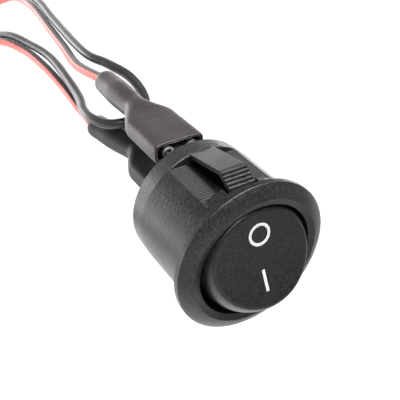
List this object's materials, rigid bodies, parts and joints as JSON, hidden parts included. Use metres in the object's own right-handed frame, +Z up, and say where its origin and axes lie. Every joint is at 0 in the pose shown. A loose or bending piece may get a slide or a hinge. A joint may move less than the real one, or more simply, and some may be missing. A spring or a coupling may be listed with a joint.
{
  "type": "panel rocker switch",
  "caption": "Round snap-in rocker switch with a dished rocker, spring wings, blade terminals in insulating sleeves and an inline lead pair.",
  "frame": {"origin": "centre of the panel seat, the bezel's back face, on the barrel's axis", "axes": "+Y rearwards along the barrel, -Y out of the front face; +Z up, towards the rocker's O end; +X right as seen from the front"},
  "size_m": [0.0246, 0.1336, 0.0555],
  "materials": {
    "black_nylon": "moulded, fine matte",
    "rocker_black": "moulded, fine matte, white moulded-in marks",
    "natural_nylon": "moulded",
    "spring_steel": "drawn wire",
    "brass_sheet": "stamped",
    "contact_silver": "silver alloy rivet",
    "tinned_sheet": "tin-plated, stamped and rolled",
    "tinned_copper": "tinned strands",
    "sleeve_vinyl": "soft matte vinyl",
    "wire_vinyl": "satin vinyl, red stripe on the striped cores"
  },
  "bodies": {
    "switch_body": {"housing": "black_nylon", "fixed_contact": "contact_silver", "switched_terminal": "brass_sheet", "common_terminal": "brass_sheet", "upper_receptacle": "tinned_sheet", "lower_receptacle": "tinned_sheet", "upper_conductor": "tinned_copper", "lower_conductor": "tinned_copper", "upper_sleeve": "sleeve_vinyl", "lower_sleeve": "sleeve_vinyl", "upper_striped_wire": "wire_vinyl", "lower_striped_wire": "wire_vinyl", "plain_wire": "wire_vinyl", "upper_striped_tip": "tinned_copper", "lower_striped_tip": "tinned_copper", "plain_wire_tips": "tinned_copper"},
    "rocker": {"rocker": "rocker_black", "plunger_spring": "spring_steel"},
    "plunger": {"plunger": "natural_nylon"},
    "lever": {"contact_lever": "brass_sheet", "moving_contact": "contact_silver"}
  },
  "joints": [
    {"name": "rocker_pivot", "type": "hinge", "parent": "switch_body", "child": "rocker", "pos_m": [0, 0.00115, 0], "axis": [1, 0, 0], "range_deg": [0, 40]},
    {"name": "plunger_slide", "type": "slide", "parent": "rocker", "child": "plunger", "axis": [0, 0.9397, -0.342], "range_m": [-0.0008, 0], "stiffness_N_per_m": 600, "springref_m": 0.001, "deforming": ["plunger_spring"]},
    {"name": "contact_pivot", "type": "hinge", "parent": "switch_body", "child": "lever", "pos_m": [0, 0.01055, 0], "axis": [1, 0, 0], "range_deg": [-14.7, 0]}
  ],
  "couplings": [
    {"joint": "contact_pivot", "follows": "rocker_pivot", "ratio": -0.35}
  ]
}
